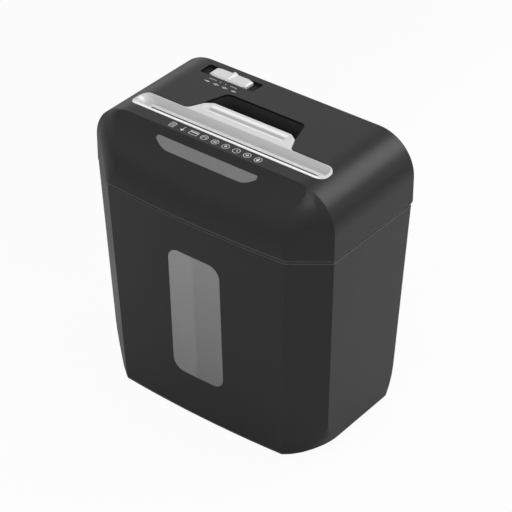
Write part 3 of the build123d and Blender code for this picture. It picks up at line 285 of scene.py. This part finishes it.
def paint_trim_light_and_shade(g):
    """Painted light and shade on the silver trim: painted shade on the throat's rear wall, painted
    highlights on the front rim and the lip, a painted shadow for the slit below, and painted highlight and
    shade in the grip's groove.
    """
    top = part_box("head_cover")[1].z
    lip = top - THROAT_DEPTH
    axes = g.add("ShaderNodeSeparateXYZ", Vector=g.place).outputs
    along, height = axes["Y"], axes["Z"]
    reach = g.add("ShaderNodeMath", {"operation": "ABSOLUTE"})
    g.tree.links.new(axes["X"], reach.inputs[0])
    tone = g.shader.inputs["Base Color"].links[0].from_socket
    # painted shade on the throat's rear wall
    wall = g.times(
        below(g, along, REAR_WALL_Y, 0.2 * MM),
        below(g, height, top - REAR_WALL_TOP, 0.3 * MM),
    )
    tone = g.mix(wall, tone, grey(REAR_WALL_SHADE_TONE))
    # painted highlight on the lip shelf and on the front rim
    tone = g.mix(below(g, height, lip + LIP_HEIGHT, 0.4 * MM), tone, grey(LIP_HIGHLIGHT_TONE))
    tone = g.mix(below(g, along, FRONT_RIM_Y, 0.5 * MM), tone, grey(LIP_HIGHLIGHT_TONE))
    # painted highlight on the groove's slopes and painted shade along its bottom line
    low = top - GROOVE_DEPTH
    line = below(g, height, low + 0.325 * MM, 0.275 * MM)
    groove = g.times(
        below(g, reach.outputs["Value"], GROOVE_HALF_LENGTH, 1.5 * MM),
        above(g, along, GROOVE_Y - GROOVE_HALF_WIDTH, 0.35 * MM),
        below(g, along, GROOVE_Y + GROOVE_HALF_WIDTH, 0.35 * MM),
        above(g, height, low - 0.2 * MM, 0.1 * MM),
    )
    tone = g.mix(groove, tone, g.mix(line, grey(GROOVE_HIGHLIGHT_TONE), grey(GROOVE_SHADE_TONE)))
    # painted shadow: a dark line that stands for the slit
    slit = below(g, height, lip - 0.25 * MM, 0.15 * MM)
    g.set(Base_Color=g.mix(slit, tone, grey(SLIT_SHADOW_TONE)))


# Painted shade across the window pane
WINDOW_SHADE_STEP_X = (-0.004, 0.001)
WINDOW_SHADE_FALL_Z = (0.058, 0.220)


def smoke_window():
    """Smoky clear pane: hazy grey, with painted shade: a little darker on the user's right and towards its
    foot.
    """
    g = Graph("smoke_window")
    axes = g.add("ShaderNodeSeparateXYZ", Vector=g.place)
    side = g.spread(axes.outputs["X"], 0.0, 1.0, *WINDOW_SHADE_STEP_X)
    fall = g.spread(axes.outputs["Z"], 1.0, 0.0, *WINDOW_SHADE_FALL_Z)
    upper = g.mix(side, grey(0.32), grey(0.275))
    lower = g.mix(side, grey(0.232), grey(0.192))
    tone = g.mix(fall, upper, lower)
    haze = g.spread(g.noise(0.02, 3.0), 0.16, 0.22)
    g.set(Base_Color=tone, Roughness=haze, Normal=g.bump(g.noise(0.012, 1.0), 0.00002))
    g.shader.inputs["Alpha"].default_value = 0.9
    return g.material


def print_white():
    """Pad-printed ink."""
    g = Graph("print_white")
    g.set(
        Base_Color=g.mix(g.noise(0.0006, 3.0), grey(0.62), grey(0.74)),
        Roughness=g.spread(g.noise(0.002, 2.0), 0.45, 0.6),
        Normal=g.bump(g.noise(0.0004, 2.0), 0.000008),
    )
    return g.material


def dress_nodes(table):
    slots = {entry["node"]: entry["material_slot"] for entry in frame["record"]["subparts"]}
    for name, thing in nodes.items():
        thing.data.materials.clear()
        thing.data.materials.append(table[slots[name]])


# Printed marks on the top of the head

PRINT_HEIGHT = 0.04 * MM
PRINT_SINK = 0.02 * MM


def add_prism(bm, points, low, high):
    """Closed thin prism on a flat outline, going anticlockwise."""
    top = [bm.verts.new((x, y, high)) for x, y in points]
    bottom = [bm.verts.new((x, y, low)) for x, y in points]
    bm.faces.new(top)
    bm.faces.new(list(reversed(bottom)))
    count = len(points)
    for i in range(count):
        j = (i + 1) % count
        bm.faces.new((top[i], bottom[i], bottom[j], top[j]))


def circle_points(x, y, radius, count=32, start=0.0, sweep=2 * math.pi):
    closed = abs(sweep) >= 2 * math.pi
    steps = count if closed else count + 1
    return [
        (x + radius * math.cos(start + sweep * i / count), y + radius * math.sin(start + sweep * i / count))
        for i in range(steps)
    ]


class Marks:
    """Flat white marks in millimetres on the plane of the head's top."""

    def __init__(self, top):
        self.bm = bmesh.new()
        self.low = top - PRINT_SINK
        self.high = top + PRINT_HEIGHT

    def fill(self, points):
        area = sum(a[0] * b[1] - b[0] * a[1] for a, b in zip(points, points[1:] + points[:1]))
        ordered = points if area > 0 else list(reversed(points))
        add_prism(self.bm, [(x * MM, y * MM) for x, y in ordered], self.low, self.high)

    def line(self, points, width, closed=False):
        """Stroke of an even width along a path."""
        count = len(points)
        left, right = [], []
        for i, (x, y) in enumerate(points):
            before = points[i - 1] if i or closed else None
            after = points[(i + 1) % count] if i + 1 < count or closed else None
            first = self.normal(before, (x, y)) if before else None
            second = self.normal((x, y), after) if after else None
            first, second = first or second, second or first
            reach = width / 2 / (1 + first[0] * second[0] + first[1] * second[1])
            dx, dy = (first[0] + second[0]) * reach, (first[1] + second[1]) * reach
            left.append((x + dx, y + dy))
            right.append((x - dx, y - dy))
        self.strip(left, right, closed)

    def strip(self, left, right, closed):
        rows = []
        for a, b in zip(left, right):
            places = [(p[0] * MM, p[1] * MM, z) for z in (self.high, self.low) for p in (a, b)]
            rows.append([self.bm.verts.new(place) for place in places])
        count = len(rows)
        for i in range(count if closed else count - 1):
            a, b = rows[i], rows[(i + 1) % count]
            self.bm.faces.new((a[0], a[1], b[1], b[0]))
            self.bm.faces.new((a[2], b[2], b[3], a[3]))
            self.bm.faces.new((a[0], b[0], b[2], a[2]))
            self.bm.faces.new((a[1], a[3], b[3], b[1]))
        if not closed:
            first, last = rows[0], rows[-1]
            self.bm.faces.new((first[0], first[2], first[3], first[1]))
            self.bm.faces.new((last[0], last[1], last[3], last[2]))

    @staticmethod
    def normal(start, end):
        length = math.dist(start, end)
        return ((start[1] - end[1]) / length, (end[0] - start[0]) / length)

    def ring(self, x, y, radius, width):
        self.line(circle_points(x, y, radius), width, True)

    def dot(self, x, y, radius):
        self.fill(circle_points(x, y, radius, 20))

    def finish(self, name, material):
        bmesh.ops.recalc_face_normals(self.bm, faces=self.bm.faces)
        mesh = bpy.data.meshes.new(name)
        self.bm.to_mesh(mesh)
        self.bm.free()
        mesh.materials.append(material)
        piece = bpy.data.objects.new(name, mesh)
        scene.collection.objects.link(piece)
        return piece


# Row of signs in front of the throat, in millimetres

MARK_Y = -44.1
MARK_FIRST_X = -56.5
MARK_STEP = 13.75
MARK_COUNT = 9
MARK_RADIUS = 4.0
MARK_LINE = 0.6


def sheet_mark(m, x, y):
    outline = [(x - 3, y - 4), (x + 3, y - 4), (x + 3, y + 2.4), (x + 1.4, y + 4), (x - 3, y + 4)]
    m.line(outline, MARK_LINE, True)
    for step in (-1.6, 0.2, 2.0):
        m.line([(x - 1.7, y + step), (x + 1.7, y + step)], MARK_LINE)


def arrow_mark(m, x, y):
    m.line([(x, y + 4.2), (x, y - 1.5)], MARK_LINE)
    m.fill([(x - 2.6, y - 1.2), (x, y - 4.4), (x + 2.6, y - 1.2)])


def card_mark(m, x, y):
    outline = [(x - 5, y - 3.2), (x + 5, y - 3.2), (x + 5, y + 3.2), (x - 5, y + 3.2)]
    m.line(outline, MARK_LINE, True)
    m.fill([(x - 5, y + 0.4), (x + 5, y + 0.4), (x + 5, y + 1.8), (x - 5, y + 1.8)])


def bars_mark(m, x, y):
    for step in (-1.1, 1.1):
        m.line([(x + step, y - 2.0), (x + step, y + 2.0)], 1.1)


def disc_mark(m, x, y):
    m.dot(x, y, 1.5)


def staple_mark(m, x, y):
    m.line([(x - 2, y - 1.8), (x - 2, y + 1.6), (x + 2, y + 1.6), (x + 2, y - 1.8)], MARK_LINE)


def clock_mark(m, x, y):
    m.line([(x, y + 2.7), (x, y), (x + 2.0, y - 1.2)], MARK_LINE)


def cross_mark(m, x, y):
    m.line([(x - 2.2, y), (x + 2.2, y)], 0.9)
    m.fill([(x - 0.45, y + 0.45), (x + 0.45, y + 0.45), (x + 0.45, y + 2.2), (x - 0.45, y + 2.2)])
    m.fill([(x - 0.45, y - 2.2), (x + 0.45, y - 2.2), (x + 0.45, y - 0.45), (x - 0.45, y - 0.45)])


def drop_mark(m, x, y):
    low = circle_points(x, y - 0.7, 1.7, 16, math.radians(150), math.radians(240))
    m.fill(low + [(x, y + 2.8)])


def make_marks(material):
    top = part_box("head_cover")[1].z
    m = Marks(top)
    plain = [sheet_mark, arrow_mark, card_mark]
    ringed = [staple_mark, bars_mark, disc_mark, clock_mark, cross_mark, drop_mark]
    for index in range(MARK_COUNT):
        x = MARK_FIRST_X + MARK_STEP * index
        if index < len(plain):
            plain[index](m, x, MARK_Y)
        else:
            m.ring(x, MARK_Y, MARK_RADIUS, MARK_LINE)
            ringed[index - len(plain)](m, x, MARK_Y)
    switch_marks(m)
    piece = m.finish("print_marks", material)
    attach(piece, "head")


# Signs in front of the mode switch, in millimetres

TICK_XS = (-71.5, -64.5)
TICK_RANGE_Y = (51.0, 52.8)
LEFT_BRACKET = [(-85.5, 50.8), (-85.5, 52.2), (-77.1, 52.2)]
RIGHT_BRACKET = [(-58.6, 52.0), (-50.4, 52.0), (-50.4, 50.6)]
SIGN_Y = 45.5
RIGHT_ARROW_XS = (-84.6, -82.2)
LEFT_ARROW_XS = (-51.0, -48.6)
RING_XS = (-72.6, -61.0)
RING_RADIUS = 1.3
DASH_RANGE = (2.0, 3.8)
LEFT_DASH = (-88.4, -86.4)
RIGHT_DASH = (-46.8, -45.6)
ARROW_LENGTH = 1.2
ARROW_HALF_WIDTH = 1.3
FINE_LINE = 0.7
BOLD_LINE = 0.8


def arrow_head(m, x, side):
    """Small filled triangle that points to the right for a side of 1, and to the left for -1."""
    back, tip = x - side * ARROW_LENGTH, x + side * ARROW_LENGTH
    m.fill([(back, SIGN_Y - ARROW_HALF_WIDTH), (tip, SIGN_Y), (back, SIGN_Y + ARROW_HALF_WIDTH)])


def dash_mark(m, ends, width):
    m.line([(x, SIGN_Y) for x in ends], width)


def switch_marks(m):
    """Travel brackets, ticks and plain signs in front of the mode switch."""
    m.line(LEFT_BRACKET, MARK_LINE)
    m.line(RIGHT_BRACKET, MARK_LINE)
    for x in TICK_XS:
        m.line([(x, y) for y in TICK_RANGE_Y], BOLD_LINE)
    for x in RIGHT_ARROW_XS:
        arrow_head(m, x, 1)
    dash_mark(m, LEFT_DASH, BOLD_LINE)
    for x in RING_XS:
        m.ring(x, SIGN_Y, RING_RADIUS, FINE_LINE)
        for side in (-1, 1):
            dash_mark(m, [x + side * step for step in DASH_RANGE], FINE_LINE)
    for x in LEFT_ARROW_XS:
        arrow_head(m, x, -1)
    dash_mark(m, RIGHT_DASH, BOLD_LINE)


# Floor, world and lamps, in metres

FLOOR_REACH = 6.0
FLOOR_TONE = 0.76
FLOOR_SHADE = 0.46
FLOOR_GLOW = 0.95
SHADE_RANGE_X = (-0.35, -0.12)
SHADE_RANGE_Y = (-0.08, 0.05)
SKY_SOFT = 0.5
SKY_GLOSS = (("From Min", 0.05), ("From Max", 0.55), ("To Min", 0.95), ("To Max", 0.72))
LAMPS = [
    ("lamp_top", (0.6, 0.0, 1.8), (0, 0, 0.2), (1.2, 1.0), 6),
    ("lamp_back", (0.87, 1.20, 1.50), (0, 0, 0.3), (1.1, 1.1), 11),
    ("lamp_front", (0.3, -1.5, 1.4), (0, 0, 0.2), (1.2, 1.2), 8),
]


def is_seen(tree, others):
    """1 for rays from the camera and for the other kinds of ray named."""
    path = tree.nodes.new("ShaderNodeLightPath")
    total = path.outputs["Is Camera Ray"]
    for key in others:
        node = tree.nodes.new("ShaderNodeMath")
        node.operation = "MAXIMUM"
        tree.links.new(total, node.inputs[0])
        tree.links.new(path.outputs[key], node.inputs[1])
        total = node.outputs["Value"]
    return total


def make_floor():
    """Floor that is white for the camera and shaded for reflections, with a painted shadow behind the left
    corner.
    """
    mesh = bpy.data.meshes.new("floor")
    reach = FLOOR_REACH
    corners = [(-reach, -reach, 0), (reach, -reach, 0), (reach, reach, 0), (-reach, reach, 0)]
    mesh.from_pydata(corners, [], [(0, 1, 2, 3)])
    floor = bpy.data.objects.new("floor", mesh)
    scene.collection.objects.link(floor)
    g = Graph("floor_white")
    axes = g.add("ShaderNodeSeparateXYZ", Vector=g.place).outputs
    # painted shadow on the floor behind the left corner, seen in reflections
    behind = g.times(
        g.spread(axes["X"], 1.0, 0.0, *SHADE_RANGE_X),
        g.spread(axes["Y"], 0.0, 1.0, *SHADE_RANGE_Y),
    )
    g.set(Base_Color=g.mix(behind, grey(FLOOR_TONE), grey(FLOOR_SHADE)), Roughness=0.9)
    tree = g.tree
    glow = tree.nodes.new("ShaderNodeEmission")
    glow.inputs["Strength"].default_value = 1.0
    share = tree.nodes.new("ShaderNodeMath")
    share.operation = "MULTIPLY"
    share.inputs[1].default_value = FLOOR_GLOW
    tree.links.new(is_seen(tree, ["Is Transmission Ray"]), share.inputs[0])
    mix = tree.nodes.new("ShaderNodeMixShader")
    tree.links.new(share.outputs["Value"], mix.inputs["Fac"])
    tree.links.new(g.shader.outputs["BSDF"], mix.inputs[1])
    tree.links.new(glow.outputs["Emission"], mix.inputs[2])
    tree.links.new(mix.outputs["Shader"], tree.nodes["Material Output"].inputs["Surface"])
    mesh.materials.append(g.material)


def make_world():
    """White studio: soft for diffuse light, a little darker overhead in reflections."""
    world = bpy.data.worlds.new("studio")
    scene.world = world
    world.use_nodes = True
    tree = world.node_tree
    sky = tree.nodes["Background"]
    place = tree.nodes.new("ShaderNodeTexCoord")
    axes = tree.nodes.new("ShaderNodeSeparateXYZ")
    tree.links.new(place.outputs["Generated"], axes.inputs["Vector"])
    studio = tree.nodes.new("ShaderNodeMapRange")
    for key, number in SKY_GLOSS:
        studio.inputs[key].default_value = number
    tree.links.new(axes.outputs["Z"], studio.inputs["Value"])
    path = tree.nodes.new("ShaderNodeLightPath")
    soft = tree.nodes.new("ShaderNodeMix")
    soft.inputs["A"].default_value = SKY_SOFT
    tree.links.new(path.outputs["Is Glossy Ray"], soft.inputs["Factor"])
    tree.links.new(studio.outputs["Result"], soft.inputs["B"])
    strength = tree.nodes.new("ShaderNodeMix")
    strength.inputs["B"].default_value = 1.0
    tree.links.new(is_seen(tree, ["Is Transmission Ray"]), strength.inputs["Factor"])
    tree.links.new(soft.outputs["Result"], strength.inputs["A"])
    tree.links.new(strength.outputs["Result"], sky.inputs["Strength"])
    sky.inputs["Color"].default_value = (1, 1, 1, 1)


def add_lamp(name, place, aim, size, energy):
    data = bpy.data.lights.new(name, "AREA")
    data.shape = "RECTANGLE"
    data.size, data.size_y = size
    data.energy = energy
    lamp = bpy.data.objects.new(name, data)
    lamp.location = place
    lamp.rotation_euler = (Vector(aim) - Vector(place)).to_track_quat("-Z", "Y").to_euler()
    scene.collection.objects.link(lamp)


make_camera()
table = make_materials()
dress_nodes(table)
make_marks(table["print_white"])
make_floor()
make_world()
for lamp in LAMPS:
    add_lamp(*lamp)
